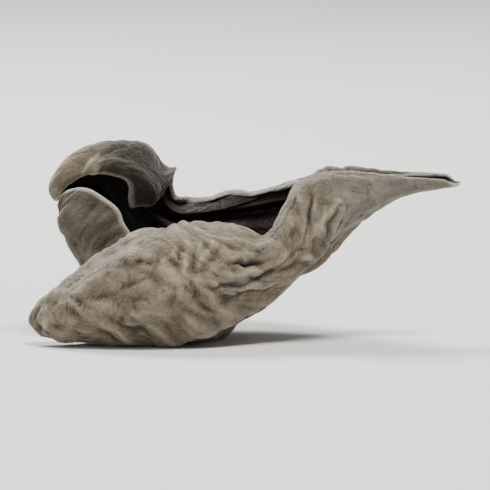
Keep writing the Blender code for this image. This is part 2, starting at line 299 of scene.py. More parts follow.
# %% [markdown]
# The outer margin of a real ear isn't cut straight. It has rounded corners, and clefts where one
# lobe ends and the next begins. So each column of the grid stops a little earlier or later, by a
# share of its length. A few rounds of evening out then do what drying does: they take out sharp
# bends that a thick sheet can't follow.

# %% The outer margin
BACK_CORNER = 0.20        # share of the length missing at the hood's lower lip,
BACK_CORNER_AT = (0.82, 0.99)  # which grows between these shares of the width,
BACK_CORNER_POWER = 1.2   # as this power of the smooth step
FRONT_CORNER = 0.05       # share of the length missing inside the front roll,
FRONT_CORNER_AT = (0.20, 0.00)  # which grows between these shares of the width
# share of the length missing in a cleft, its middle and half width as shares of the width
CLEFTS = (
    (0.08, 0.30, 0.05),   # between the front roll and the lobe
    (0.11, 0.62, 0.07),   # between the lobe and the hood
)


def margin(share):
    """How far the sheet reaches at each share of its width, as a share of the length.

    It is 1, less a smooth step at each corner and a bell curve at each cleft.
    """
    back_corner = BACK_CORNER * fade(share, *BACK_CORNER_AT)**BACK_CORNER_POWER
    front_corner = FRONT_CORNER * fade(share, *FRONT_CORNER_AT)
    return 1.0 - back_corner - front_corner - sum(bell(share, *cleft) for cleft in CLEFTS)


reach = margin(np.linspace(0.0, 1.0, 101))
print("the margin is at", reach.min().round(2), "to", reach.max().round(2), "of the length")

# %% Evening out
RELAX_PASSES = 50         # rounds of evening out, which open the tightest bends a little
RIM_ROUNDS = 4            # how many times more the outer margin is evened out


def relaxed(field, passes):
    """The field with each point drawn halfway to the mean of its neighbours, a number of times.

    The foot's edge and the outer margin are evened out along themselves, RIM_ROUNDS times as much.
    """
    field = field.copy()
    for _ in range(passes):
        inside = (field[:-2, 1:-1] + field[2:, 1:-1] + field[1:-1, :-2] + field[1:-1, 2:]) / 4
        sides = (field[:-2, [0, -1]] + field[2:, [0, -1]]) / 2
        field[1:-1, 1:-1] += 0.5 * (inside - field[1:-1, 1:-1])
        field[1:-1, [0, -1]] += 0.5 * (sides - field[1:-1, [0, -1]])
        for _ in range(RIM_ROUNDS):
            ends = (field[[0, -1], :-2] + field[[0, -1], 2:]) / 2
            field[[0, -1], 1:-1] += 0.5 * (ends - field[[0, -1], 1:-1])
    return field


spike = np.zeros((5, 5, 1))
spike[2, 2] = 1.0
print("a spike of 1 after two rounds:", relaxed(spike, 2)[2, 2, 0])

# %% The smooth middle surface
FINE = 241                # rows and columns of the smooth middle surface
FOOT_POINT = 0.035        # share of the length by which the side margins start behind the foot's tip
THICKNESS = 0.70          # of the dried sheet, mm
FLOOR = 0.95              # height in the tables that becomes the resting plane, mm
PRESS = 0.12              # how far the bellies are pressed flat where they rest, mm


def smooth_surface():
    """The middle surface of the sheet, FINE rows by FINE columns.

    The foot ends in a point, and each column stops at the margin. Each row is stepped evenly along
    its width.
    """
    share = np.linspace(0.0, 1.0, FINE)
    sheet = swept_sheet(share)
    start = FOOT_POINT * (2 * share - 1)**2
    row = (start + share[:, None] * (margin(share) - start)) * (SWEPT_ROWS - 1)
    low = np.clip(row.astype(int), 0, SWEPT_ROWS - 2)
    part = (row - low)[..., None]
    column = np.arange(FINE)[None, :]
    surface = sheet[low, column] * (1 - part) + sheet[low + 1, column] * part
    for i, line in enumerate(surface.copy()):
        walked = np.concatenate([[0.0], np.cumsum(np.linalg.norm(np.diff(line, axis=0), axis=1))])
        evenly = share * walked[-1]
        surface[i] = np.stack([np.interp(evenly, walked, line[:, k]) for k in range(3)], axis=1)
    return surface


def normals(grid):
    """Unit normals of a grid of points, pointing to the velvety outside of the ear.

    They are the cross product of the grid's directions along and across the sheet.
    """
    return unit(np.cross(np.gradient(grid, axis=0), np.gradient(grid, axis=1)))


surface = relaxed(smooth_surface(), RELAX_PASSES)
surface[..., 2] = np.maximum(surface[..., 2], FLOOR + THICKNESS / 2 - PRESS)
facing = relaxed(normals(surface), RELAX_PASSES)
print("middle surface:", np.ptp(surface.reshape(-1, 3), axis=0).round(2), "mm")

# %% [markdown]
# ## The fine grid
#
# The mesh needs a point about every 0.17 mm to carry the small wrinkles, and closer still at the
# rim, where the sheet's edge is rounded. `lines` puts extra grid lines there. `pick` then reads
# the smooth surface at those lines with curves instead of straight steps, because straight steps
# would show as faint facets in the light.

# %% Grid lines, closer together at the rims
LENGTH = 34.0             # of the sheet from foot to margin, about, mm
BODY_WIDTH = 42.0         # of the sheet across its widest part, about, mm
ROWS = 196                # grid lines across the sheet, from the foot to the outer margin
COLUMNS = 252             # grid lines along it, from the front rim to the back rim
BY_THE_RIM = (0.04, 0.11)  # distances of the extra lines from each rim, mm


def lines(count, length, extra):
    """Shares from 0 to 1, count of them, with extra lines close to both ends of a length in mm."""
    near = np.array(extra) / length
    inner = np.linspace(0.0, 1.0, count - 2 * len(near))
    return np.sort(np.concatenate([inner, near, 1.0 - near]))


def pick(field, u, v):
    """The field at the shares u of the length and v of the width, along smooth curves."""
    knots = np.linspace(0.0, 1.0, FINE)
    rows = smooth_path(knots, field.reshape(FINE, -1), u).reshape(len(u), FINE, -1)
    columns = smooth_path(knots, rows.transpose(1, 0, 2).reshape(FINE, -1), v)
    return columns.reshape(len(v), len(u), -1).transpose(1, 0, 2)


u = lines(ROWS, LENGTH, BY_THE_RIM)
v = lines(COLUMNS, BODY_WIDTH, BY_THE_RIM)
grid = pick(surface, u, v)
normal = unit(pick(facing, u, v))
print("grid:", grid.shape[:2])

# %% [markdown]
# ## Folds that show from a step away
#
# These are in the solid part too: long folds that run from the foot, shallow dents, a frill along
# the rim, and one deep crease where the front roll turns up to the foot. They are waves and a
# bell curve, added to the height of the skin along the sheet's own normal.

# %% Long folds, dents and the frill
TURN = 2 * np.pi          # a full turn, in radians
FOLDED_WIDTH = 24.0       # width from which the sheet has its full folds, mm
# height in mm, how many across the sheet and along it, sway, how often and from where, and shift
LONG_FOLDS = (
    (0.20, 7.3, 0.0, 0.35, 1.1, 0.0, 0.10),
    (0.12, 11.2, -0.6, 0.25, 1.7, 1.0, 0.0),
)
FRILL = (0.16, 2.1, 6.3, 0.20, 3.1, 0.0, 0.0)
FRILL_REACH = 2.5         # distance from a side margin in which the frill falls to about a third, mm
FRILL_OUTER = 15.0        # how many such distances the length has, from the outer margin
DENTS = 0.22              # depth of the dents, mm
DENTS_ALONG = (1.9, 0.15)  # pairs of dents along the sheet, and their shift,
DENTS_ACROSS = (2.6, 0.30)  # and across it
CALM = 0.7                # share of the folds missing at the front roll's left end,
CALM_ALONG = (0.80, 0.95)  # which lies between these shares of the length
CALM_ACROSS = (0.36, 0.24)  # and of the width


def waves(u, v, height, across, along, sway, rate, start, shift):
    """Folds side by side, in mm.

    The height times the cosine of this many full turns: across times v, plus along times u, plus
    the sway times the sine of rate full turns of u, plus the shift.
    """
    swaying = sway * np.sin(TURN * rate * u + start)
    return height * np.cos(TURN * (across * v + along * u + swaying + shift))


def folds(u, v, width):
    """Height in mm of the long folds, the dents and the frill that follows the rim.

    The dents are a sine along the sheet times one across it, and the frill is waves times e to the
    power of minus the distance from the rim. All of it grows with the width of the sheet.
    """
    u, v = u[:, None], v[None, :]
    long_folds = sum(waves(u, v, *fold) for fold in LONG_FOLDS)
    dents = DENTS * (np.sin(TURN * (DENTS_ALONG[0] * u + DENTS_ALONG[1]))
                     * np.sin(TURN * (DENTS_ACROSS[0] * v + DENTS_ACROSS[1])))
    rim = np.exp(-np.minimum(v, 1 - v) * width / FRILL_REACH) + np.exp(-(1 - u) * FRILL_OUTER)
    calm = 1 - CALM * fade(u, *CALM_ALONG) * fade(v, *CALM_ACROSS)
    return ease(width / FOLDED_WIDTH) * calm * (long_folds + dents + rim * waves(u, v, *FRILL))


def widths(grid):
    """The width of the sheet at each row, measured along its surface."""
    return np.linalg.norm(np.diff(grid, axis=1), axis=2).sum(axis=1)[:, None]


width = widths(grid)
big_folds = folds(u, v, width)
print("folds from", big_folds.min().round(2), "to", big_folds.max().round(2), "mm")

# %% The deep crease at the neck
NECK_DEPTH = 0.55         # mm
NECK_X = 0.9              # place of its middle, mm,
NECK_Z = 8.0              # at this height in the tables, mm
NECK_LEAN = 0.35          # how far it moves towards the foot for each mm up
NECK_HALF_WIDTH = 0.75    # mm
NECK_HEIGHTS = (5.2, 7.7)  # it deepens between these heights, mm,
NECK_DEPTHS = (0.0, -2.0)  # and from this y towards the front


def neck_crease(grid):
    """Depth in mm of the crease where the front roll turns up to the foot: a bell curve across it."""
    x, y, z = grid[..., 0], grid[..., 1], grid[..., 2]
    crease = bell(x - NECK_LEAN * (z - NECK_Z), NECK_DEPTH, NECK_X, NECK_HALF_WIDTH)
    return crease * fade(z, *NECK_HEIGHTS) * fade(y, *NECK_DEPTHS)


big_folds = big_folds - neck_crease(grid)
print("with the crease from", big_folds.min().round(2), "to", big_folds.max().round(2), "mm")

# %% [markdown]
# ## A ragged rim
#
# The rim of a real ear is never a clean curve: it is nibbled, and it dries unevenly. Here it is
# moved in and out by a random field, which changes smoothly from point to point. The field is
# worked out from random slopes at the corners of a square lattice, and the wrinkles further down
# are made from it too. Its random numbers have fixed seeds, so the ear is the same each time.

# %% A random field
def noise(x, y, seed):
    """A smooth random field between about -1 and 1.

    Each corner of a square lattice of step 1 has a random slope. At a point, the four heights that
    the slopes of its corners give are mixed by soft steps.
    """
    turn = np.random.default_rng(seed).uniform(0, 2 * np.pi, (256, 256))
    x, y = np.broadcast_arrays(x, y)
    i, j = np.floor(x).astype(int), np.floor(y).astype(int)
    fx, fy = x - i, y - j

    def corner(a, b):
        angle = turn[(i + a) % 256, (j + b) % 256]
        return np.cos(angle) * (fx - a) + np.sin(angle) * (fy - b)

    sx, sy = ease(fx), ease(fy)
    low = corner(0, 0) * (1 - sx) + corner(1, 0) * sx
    high = corner(0, 1) * (1 - sx) + corner(1, 1) * sx
    return 1.5 * (low * (1 - sy) + high * sy)


print("a random field, halfway between corners:", noise(np.arange(4) + 0.5, 0.5, 1).round(2))

# %% The rim, moved in and out
RAG = 0.30                # how much of the random field, mm
RAG_STEP = 1.3            # lattice step along the rim, mm
RAG_FADE = 0.8            # distance from the rim in which the move falls to about a third, mm
RAG_FULL_WIDTH = 12.0     # width from which the sheet's rim is moved in full, mm


def ragged(grid, u, v):
    """The grid with its rim moved in and out, along the sheet itself.

    The move is the random field along the rim, times e to the power of minus the distance from the
    rim over RAG_FADE.
    """
    to_margin, to_back = unit(np.gradient(grid, axis=0)), unit(np.gradient(grid, axis=1))
    full = widths(grid)
    lengthwise, crosswise = LENGTH * u[:, None], full * v[None, :]
    outer = np.exp(-(LENGTH - lengthwise) / RAG_FADE) * noise(crosswise / RAG_STEP, 0.5, 61)
    back = np.exp(-(full - crosswise) / RAG_FADE) * noise(lengthwise / RAG_STEP, 0.5, 62)
    front = np.exp(-crosswise / RAG_FADE) * noise(lengthwise / RAG_STEP, 0.5, 63)
    moves = outer[..., None] * to_margin + (back - front)[..., None] * to_back
    return grid + RAG * ease(full / RAG_FULL_WIDTH)[..., None] * moves


clean_grid = grid
grid = ragged(clean_grid, u, v)
moved = np.linalg.norm(grid - clean_grid, axis=2)
print("rim moved by up to", moved.max().round(2), "mm")

# %% [markdown]
# ## Fine wrinkles
#
# The velvet side is crumpled all over. Most creases start towards the foot, fan out and fork as
# the sheet gets wider, so that they stay about as far apart everywhere, and shorter ones join them
# at an angle.
#
# A wrinkle here is the crease where a smooth random field passes through zero. Taking the size of
# the field without its sign turns every such place into a sharp valley between two round ridges,
# the way dried skin looks. Before that, the field's own coordinates are pushed about by two
# slower fields, so that the creases wander and meet.

# %% A creased field
SWAY = 0.9                # how far the creases wander across, in lattice steps,
SWAY_STEP = 2.1           # and the lattice step of that
DRIFT = 0.7               # the same along the sheet
DRIFT_STEP = 1.6
VALLEY = 0.01             # size of the field that is still the bottom of a crease
RIDGE = 0.6               # size of the field above that which makes a full ridge


def creased(x, y, seed):
    """Height between 0 in the creases and 1 on the ridges, one ridge to a lattice step.

    It is the square root of the size of a wandering field, which makes the ridges round.
    """
    sway = SWAY * noise(x / SWAY_STEP, y / SWAY_STEP, seed + 20)
    drift = DRIFT * noise(x / DRIFT_STEP + 9.5, y / DRIFT_STEP + 4.5, seed + 40)
    field = noise(x + drift, y + sway, seed)
    return np.sqrt(np.clip(np.abs(field) - VALLEY, 0.0, RIDGE) / RIDGE)


print("mean of a creased field:", creased(np.linspace(0.0, 40.0, 400), 0.5, 1).mean().round(2))

# %% Coordinates on the sheet
SLANT = 13.0              # how far the creases lean over at the front roll's left end, mm,
SLANT_ALONG = (0.42, 0.97)  # which they do between these shares of the length
SLANT_ACROSS = (0.44, 0.20)  # and of the width
along = LENGTH * u[:, None]
slant = SLANT * fade(u[:, None], *SLANT_ALONG) * fade(v[None, :], *SLANT_ACROSS)
print("creases lean over by up to", slant.max().round(1), "mm")

# %% Wrinkles of several sizes
# number of creases across, the width in mm that it suits, depth, reach along the sheet, seed
WRINKLES = (
    (12, 42.0, 0.20, 4.4, 11), (23, 42.0, 0.22, 2.6, 12), (44, 42.0, 0.12, 1.4, 13),
    (8, 19.0, 0.13, 3.2, 14), (17, 19.0, 0.11, 1.7, 15),
    (4, 9.0, 0.10, 3.0, 16), (9, 9.0, 0.07, 1.4, 17),
)
FIT = 0.60                # how far, as a logarithm, the width may be from the one that a size suits
LEVEL = 0.6               # height of the creased field that counts as level


def wrinkles(u, v, width, slant):
    """Height of the fine wrinkles in mm.

    It is the sum over the sizes of the creased field less its level, times the depth, times how
    well the size fits: each one fades out where the sheet is much wider or narrower than the width
    it suits, and another one takes over there.
    """
    height = 0.0
    for count, suits, depth, reach, seed in WRINKLES:
        fits = np.exp(-(np.log(width / suits) / FIT)**2)
        across = count * (v[None, :] + slant / BODY_WIDTH)
        height = height + depth * fits * (creased(along / reach, across, seed) - LEVEL)
    return height


HOOD_ALONG = (0.50, 0.66)  # the hood begins between these shares of the length
HOOD_ACROSS = (0.62, 0.76)  # and of the width
HOOD_CALM = 0.4           # share of the wrinkles missing there
hood = fade(u[:, None], *HOOD_ALONG) * fade(v[None, :], *HOOD_ACROSS)
fine = wrinkles(u, v, width, slant) * (1 - HOOD_CALM * hood)
print("wrinkles from", fine.min().round(3), "to", fine.max().round(3), "mm")

# %% [markdown]
# ## Creases that make it this ear
#
# Some marks are what one would know this ear by: the dark, eye-shaped fold in the bend of the
# front roll, the creases that sweep round below it into the neck, short ridges above the belly,
# and a crumpled patch at the knee. They are listed, as seen from the front. Each is a
# narrow ridge or crease along a short line, with soft ends, and the lines are bent a little by a
# random field so that none looks ruled.

# %% Marks seen from the front
# x and z of the middle, direction in degrees, half length, half width, height (below 0: a crease)
# and how far the ends are bent upwards.
MARKS = (
    # the eye and the bend
    (0.1, 5.5, 0, 0.8, 0.15, -0.75, 0.1),
    (0.0, 6.1, -5, 1.0, 0.17, 0.12, 0.1),
    (0.0, 4.9, 5, 1.2, 0.18, 0.12, 0.1),
    (0.9, 6.1, 30, 0.8, 0.30, -0.15, 0),
    (-1.0, 6.4, -10, 0.5, 0.20, -0.15, 0),
    (2.3, 5.9, 35, 1.0, 0.18, 0.12, 0),
    # the sweeping creases below
    (0.6, 4.5, 20, 2.5, 0.13, -0.25, 0.6),
    (2.0, 5.1, 25, 0.8, 0.12, -0.12, 0),
    (-1.2, 4.3, 10, 1.3, 0.14, -0.20, 0.1),
    (-1.8, 4.8, -10, 0.3, 0.16, -0.16, 0),
    (-0.3, 3.9, 0, 1.6, 0.14, 0.14, 0.2),
    (1.9, 4.3, 25, 1.4, 0.15, 0.10, 0.1),
    (0.0, 3.5, 10, 1.7, 0.14, -0.25, 0.2),
    (-1.1, 3.1, -5, 0.7, 0.27, -0.18, 0),
    (1.0, 2.6, 20, 1.4, 0.15, -0.15, 0.1),
    (1.5, 3.4, 25, 1.2, 0.15, 0.10, 0),
    (-2.3, 3.4, -45, 1.0, 0.15, 0.16, 0),
    (-2.5, 2.8, -35, 0.8, 0.12, -0.20, 0),
    (-3.1, 3.4, -60, 0.5, 0.13, -0.10, 0),
    # ridges above the belly
    (-3.9, 5.5, 90, 0.9, 0.15, 0.22, 0),
    (-4.3, 6.3, 70, 0.4, 0.12, -0.25, 0),
    (-4.7, 5.7, -20, 0.4, 0.13, -0.25, 0),
    (-3.4, 5.9, 85, 0.8, 0.12, -0.22, 0),
    (-4.6, 6.3, 60, 0.3, 0.18, 0.14, 0),
    (-2.7, 6.1, 50, 0.9, 0.15, 0.16, 0),
    (-2.1, 6.1, 50, 0.8, 0.13, -0.18, 0),
    (-3.0, 6.7, 80, 0.5, 0.14, 0.12, 0),
    (-6.3, 6.0, 20, 0.2, 0.20, 0.16, 0),
    (-6.9, 5.8, 60, 0.3, 0.15, -0.22, 0),
    (-5.7, 5.9, 100, 0.3, 0.14, -0.22, 0),
    (-6.2, 5.6, 0, 0.3, 0.12, -0.18, 0),
    (-3.9, 4.2, -30, 0.5, 0.15, -0.18, 0),
    (-4.8, 3.5, 85, 0.4, 0.15, -0.18, 0),
    (-3.5, 3.6, 70, 0.5, 0.14, -0.16, 0),
    (-4.3, 3.9, -50, 0.5, 0.15, 0.12, 0),
    (-7.1, 4.5, 20, 1.1, 0.17, -0.20, 0),
    (-7.9, 5.3, -10, 0.8, 0.20, -0.12, 0),
    (-5.2, 4.8, 20, 0.8, 0.20, -0.10, 0),
    # diagonal folds at the left
    (-10.6, 3.1, -25, 0.9, 0.13, -0.30, 0),
    (-9.6, 3.5, 20, 0.7, 0.13, -0.25, 0),
    (-10.5, 2.7, -30, 0.8, 0.14, 0.18, 0),
    (-11.0, 2.5, -30, 0.9, 0.13, -0.20, 0),
    (-8.1, 1.2, -35, 1.2, 0.14, 0.24, 0),
    (-7.7, 1.7, -30, 1.5, 0.15, -0.30, 0),
    (-8.6, 1.0, -30, 1.0, 0.14, -0.25, 0),
    (-6.7, 1.3, -30, 1.2, 0.18, -0.16, 0),
    (-9.4, 1.9, -30, 1.3, 0.20, -0.14, 0),
    (-8.4, 2.8, -20, 0.9, 0.18, 0.10, 0),
    (-7.9, 2.3, -40, 0.3, 0.14, -0.20, 0),
    (-7.3, 2.6, -30, 0.5, 0.15, 0.12, 0),
    (-12.8, 1.7, 40, 0.5, 0.15, 0.20, 0),
    (-13.5, 1.4, 80, 0.9, 0.13, -0.25, 0),
    (-11.9, 1.7, 5, 0.5, 0.22, -0.22, 0),
    (-12.3, 2.2, 20, 0.8, 0.14, -0.14, 0),
    # the crumpled knee
    (3.6, 9.5, -70, 0.3, 0.14, 0.18, 0),
    (3.4, 9.4, 70, 0.3, 0.12, -0.22, 0),
    (4.2, 9.1, 85, 0.7, 0.12, -0.35, 0),
    (4.5, 9.0, 90, 0.4, 0.12, 0.18, 0),
    (5.0, 8.6, 70, 0.5, 0.13, 0.18, 0),
    (4.7, 7.9, 60, 0.5, 0.13, 0.18, 0),
    (4.4, 7.3, 70, 0.4, 0.14, 0.16, 0),
    (5.5, 9.0, 45, 0.5, 0.13, 0.14, 0),
    (5.8, 9.4, -30, 0.3, 0.15, 0.16, 0),
    (5.5, 8.6, 50, 0.5, 0.12, -0.25, 0),
    (5.1, 7.8, 70, 0.4, 0.12, -0.25, 0),
    (4.3, 8.2, 95, 0.4, 0.12, -0.25, 0),
    (3.9, 7.7, 60, 0.8, 0.15, -0.16, 0),
    (6.1, 8.5, 60, 0.8, 0.13, -0.16, 0),
    (5.9, 7.7, 60, 0.6, 0.15, 0.10, 0),
    (6.4, 7.4, 55, 0.9, 0.13, -0.14, 0),
    (7.1, 9.9, -5, 0.5, 0.14, -0.18, 0),
    (7.9, 10.0, 70, 0.6, 0.16, -0.14, 0),
    (7.2, 8.2, 50, 0.8, 0.14, -0.12, 0),
    (3.8, 5.9, 35, 0.4, 0.14, 0.22, 0),
    (3.9, 5.5, 40, 0.3, 0.13, -0.25, 0),
    (3.5, 6.4, 20, 0.3, 0.13, -0.22, 0),
    (2.7, 8.0, 60, 1.3, 0.15, -0.12, 0),
    (5.4, 6.4, 50, 1.4, 0.15, -0.15, 0),
    (4.6, 5.9, 50, 1.0, 0.15, 0.10, 0),
    (3.1, 7.3, 60, 0.6, 0.14, -0.15, 0),
    # the hood's lip and the lobe
    (-9.9, 11.8, 50, 0.6, 0.18, 0.14, 0),
    (-10.7, 11.1, 40, 0.6, 0.16, 0.14, 0),
    (-9.5, 11.1, 70, 0.4, 0.14, -0.24, 0),
    (-10.4, 10.8, 20, 0.3, 0.12, -0.22, 0),
    (-11.9, 8.7, 50, 0.8, 0.14, -0.18, 0),
    (-10.9, 9.0, 70, 0.8, 0.15, 0.10, 0),
    (-10.2, 8.5, 60, 0.8, 0.14, -0.16, 0),
    (-12.3, 8.0, 65, 0.6, 0.13, -0.16, 0),
)
print(len(MARKS), "marks")

# %% Height of the marks
WOBBLE = 0.22             # how far the lines are bent, mm
WOBBLE_STEP = 0.8         # lattice step of the field that bends them, mm
MARK_POWER = 1.4          # how sharp a mark is: 1 is a sharp crest, 2 a round one
FACES_FRONT = (0.15, 0.55)  # how much the skin has to face the front, for none or all of a mark
MARK_Y = (2.5, 1.5)       # and how far at the front it has to be, mm


def marks(grid, normal):
    """Height in mm of the marks, on the skin that faces the front.

    A mark is its height times e to the power of minus a sum: the distance across its line, in half
    widths, to the power MARK_POWER, and the distance along it, in half lengths, squared.
    """
    x, z = grid[..., 0], grid[..., 2] - FLOOR
    wobble_x, wobble_z = (noise(x / WOBBLE_STEP, z / WOBBLE_STEP, seed) for seed in (71, 72))
    x, z = x + WOBBLE * wobble_x, z + WOBBLE * wobble_z
    height = 0.0
    for middle_x, middle_z, direction, length, width, depth, bent in MARKS:
        cos, sin = math.cos(math.radians(direction)), math.sin(math.radians(direction))
        down_line = (cos * (x - middle_x) + sin * (z - middle_z)) / length
        over_line = (cos * (z - middle_z) - sin * (x - middle_x) - bent * down_line**2) / width
        height = height + depth * np.exp(-np.abs(over_line)**MARK_POWER - down_line**2)
    return height * fade(-normal[..., 1], *FACES_FRONT) * fade(grid[..., 1], *MARK_Y)


drawn = marks(grid, normal)
print("marks from", drawn.min().round(2), "to", drawn.max().round(2), "mm")

# %% The wing's two lips
WING_START = (0.08, 0.14)  # the flat wing next to the foot begins between these shares of the length
WING_END = (0.36, 0.30)   # and ends between these
# height in mm, middle and half width as shares of the sheet's width
LIP_RIDGE = (0.18, 0.020, 0.016)
LIP_GROOVE = (0.25, 0.940, 0.014)


def lip_lines(u, v):
    """Height in mm of a ridge along the wing's front lip, less a groove along its back one.

    Both are bell curves across the sheet, faded out at the wing's two ends.
    """
    on_wing = fade(u[:, None], *WING_START) * fade(u[:, None], *WING_END)
    return on_wing * (bell(v[None, :], *LIP_RIDGE) - bell(v[None, :], *LIP_GROOVE))


drawn = drawn + lip_lines(u, v)
print("with the lips from", drawn.min().round(2), "to", drawn.max().round(2), "mm")

# %% [markdown]
# ## Closing the sheet
#
# The skin is the middle surface pushed out by half the thickness, the dark side is the same
# surface pushed in. Near the rim the half thickness falls off as a circle does, so the edge is
# round, and both sides share the points of the rim itself. That makes one closed body.

# %% Distance from the rim
def rim_distance(grid):
    """Distance in mm from each grid point to the nearest edge of the sheet.

    It is the smallest of the four sums of steps along the grid lines to the sheet's edges.
    """
    steps_u = np.linalg.norm(np.diff(grid, axis=0), axis=2)
    steps_v = np.linalg.norm(np.diff(grid, axis=1), axis=2)
    nothing_u, nothing_v = np.zeros((1, grid.shape[1])), np.zeros((grid.shape[0], 1))
    from_foot = np.concatenate([nothing_u, np.cumsum(steps_u, axis=0)])
    from_front = np.concatenate([nothing_v, np.cumsum(steps_v, axis=1)], axis=1)
    return np.minimum(np.minimum(from_foot, from_foot[-1:] - from_foot),
                      np.minimum(from_front, from_front[:, -1:] - from_front))


edge_distance = rim_distance(grid)
print("furthest from the rim:", edge_distance.max().round(1), "mm")

# %% Two sides that share their rim
FOOT_THICKNESS = 0.28     # of the sheet at the pinched foot, mm
FULL_WIDTH = 16.0         # width from which the sheet has its full thickness, mm
RIM_SHARE = 0.62          # share of the thickness that is left at the rim
RIM_TAPER = 3.0           # distance from the rim over which it thins to that, mm


def closed_sheet(grid, normal, outside, inside):
    """Points of the sheet with its thickness, and the faces of its outer and of its inner side.

    Each side is the grid moved along its normals: by the relief outside plus half the thickness,
    and by the relief inside less half the thickness, in mm. The half thickness falls to nothing at
    the rim as a quarter of a circle does, and there both sides use the same points.
    """
    half = 0.5 * (FOOT_THICKNESS + (THICKNESS - FOOT_THICKNESS) * ease(widths(grid) / FULL_WIDTH))
    half = half * (RIM_SHARE + (1 - RIM_SHARE) * ease(edge_distance / RIM_TAPER))
    edge = np.clip(edge_distance / half, 0.0, 1.0)
    half = half * np.sqrt(1 - (1 - edge)**2)
    outer = grid + normal * (outside + half)[..., None]
    inner = grid + normal * (inside - half)[..., None]
    rows, columns = grid.shape[:2]
    outer_id = np.arange(rows * columns).reshape(rows, columns)
    inner_id = outer_id.copy()
    middle = (slice(1, rows - 1), slice(1, columns - 1))
    inner_id[middle] = np.arange((rows - 2) * (columns - 2)).reshape(rows - 2, columns - 2)
    inner_id[middle] += rows * columns
    points = np.concatenate([outer.reshape(-1, 3), inner[middle].reshape(-1, 3)])
    return points, quads(outer_id), quads(inner_id)[:, ::-1]


def quads(ids):
    """The four corners of each cell of a grid of vertex numbers."""
    return np.stack([ids[:-1, :-1], ids[1:, :-1], ids[1:, 1:], ids[:-1, 1:]], axis=2).reshape(-1, 4)


INSIDE_SHARE = 0.25       # share of the wrinkles and marks that shows on the dark side
outside = big_folds + fine + drawn
inside = big_folds + INSIDE_SHARE * (fine + drawn)
points, velvet_faces, dark_faces = closed_sheet(grid, normal, outside, inside)
print(len(points), "points,", len(velvet_faces) + len(dark_faces), "faces")

# %% Rest the ear on the floor, where the part is
points -= np.array([0.0, 0.0, FLOOR])
points[:, 2] = np.maximum(points[:, 2], 0.0)
part_middle = (np.array(cad_low) + np.array(cad_high)) / 2 / MM
points[:, :2] += part_middle[:2] - (points.min(axis=0) + points.max(axis=0))[:2] / 2
print("ear:", np.ptp(points, axis=0).round(2), "mm")

# %% Mesh
def make_ear():
    """One mesh: the velvet faces, then the dark ones, shaded smooth."""
    faces = np.concatenate([velvet_faces, dark_faces])
    mesh = bpy.data.meshes.new("wood_ear_skin")
    mesh.from_pydata((points * MM).tolist(), [], faces.tolist())
    mesh.shade_smooth()
    mesh.update()
    ear = bpy.data.objects.new("wood_ear_skin", mesh)
    bpy.context.scene.collection.objects.link(ear)
    return ear


ear = make_ear()
print(ear.name, len(ear.data.polygons), "faces")

# %% [markdown]
# ## What the finishes read from the mesh
#
# A finish can follow the ear's own forms if the mesh carries numbers for it, one at each point:
# how high the wrinkles stand, where the marks are, how far the rim is, where the hood, the lobe
# and the foot are, and the sheet's own coordinates, so that fine lines can run along it.

# %% Values for the wrinkles, the marks and the rim
RELIEF_ROUNDS = 30        # rounds of evening out that leave the level between the wrinkles
FULL_WRINKLE = 0.12       # height above that level which counts as 1, mm
FULL_MARK = 0.25          # height of a mark which counts as 1, mm


def per_point(field):
    """A grid of values as one value for each point of the closed sheet."""
    field = np.broadcast_to(field, grid.shape[:2])
    return np.concatenate([field.reshape(-1), field[1:-1, 1:-1].reshape(-1)])


def add_value(name, field):
    """Stores one number for each point under a name that a material can read."""
    attribute = ear.data.attributes.new(name, "FLOAT", "POINT")
    attribute.data.foreach_set("value", per_point(field).astype(np.float32))


level = relaxed((fine + drawn)[..., None], RELIEF_ROUNDS)[..., 0]
# The wrinkle value lets the velvet paint shade into the creases and highlight onto the ridges.
add_value("wrinkle", np.clip((fine + drawn - level) / FULL_WRINKLE, -1.0, 1.0))
# The mark value pales ridges, partly wear and partly painted highlight, and darkens creases as painted
# shade.
add_value("mark", np.clip(drawn / FULL_MARK, -1.0, 1.0))
add_value("rim", edge_distance)
print("values stored:", [a.name for a in ear.data.attributes if a.data_type == "FLOAT"])

# %% Values for the hood, the lobe and the foot
LOBE_ALONG = (0.86, 0.94)  # the lobe begins between these shares of the length
LOBE_FRONT = (0.30, 0.36)  # and between these of the width, and ends
LOBE_BACK = (0.62, 0.56)  # between these
LOBE_SHADE = 0.62         # how much of the hood's darker colour the lobe gets, all as painted shade
HOOD_RIGHT = (-10.2, -8.7)  # x from which to which the hood gets darker, mm
HOOD_LEAST = 0.12         # what its left part has of that
FOOT_REACH = (0.42, 0.12)  # shares of the length over which the skin turns to the foot's colour

lobe = fade(u[:, None], *LOBE_ALONG) * fade(v[None, :], *LOBE_FRONT) * fade(v[None, :], *LOBE_BACK)
# The hood value darkens the hood's right part, partly its own brown and partly painted shade, and the
# lobe as painted shade.
shaded = hood * (HOOD_LEAST + (1 - HOOD_LEAST) * fade(grid[..., 0], *HOOD_RIGHT))
add_value("hood", np.maximum(shaded, LOBE_SHADE * lobe))
add_value("foot", fade(u[:, None], *FOOT_REACH))
print("values stored:", [a.name for a in ear.data.attributes if a.data_type == "FLOAT"])

# %% The sheet's own coordinates, in mm along it and across it
across = (v[None, :] - KEEL) * width + slant
flow = np.stack([per_point(along), per_point(across), per_point(0.0)], axis=1)
attribute = ear.data.attributes.new("flow", "FLOAT_VECTOR", "POINT")
attribute.data.foreach_set("vector", flow.astype(np.float32).reshape(-1))
print("flow reaches", np.ptp(flow, axis=0).round(1), "mm")

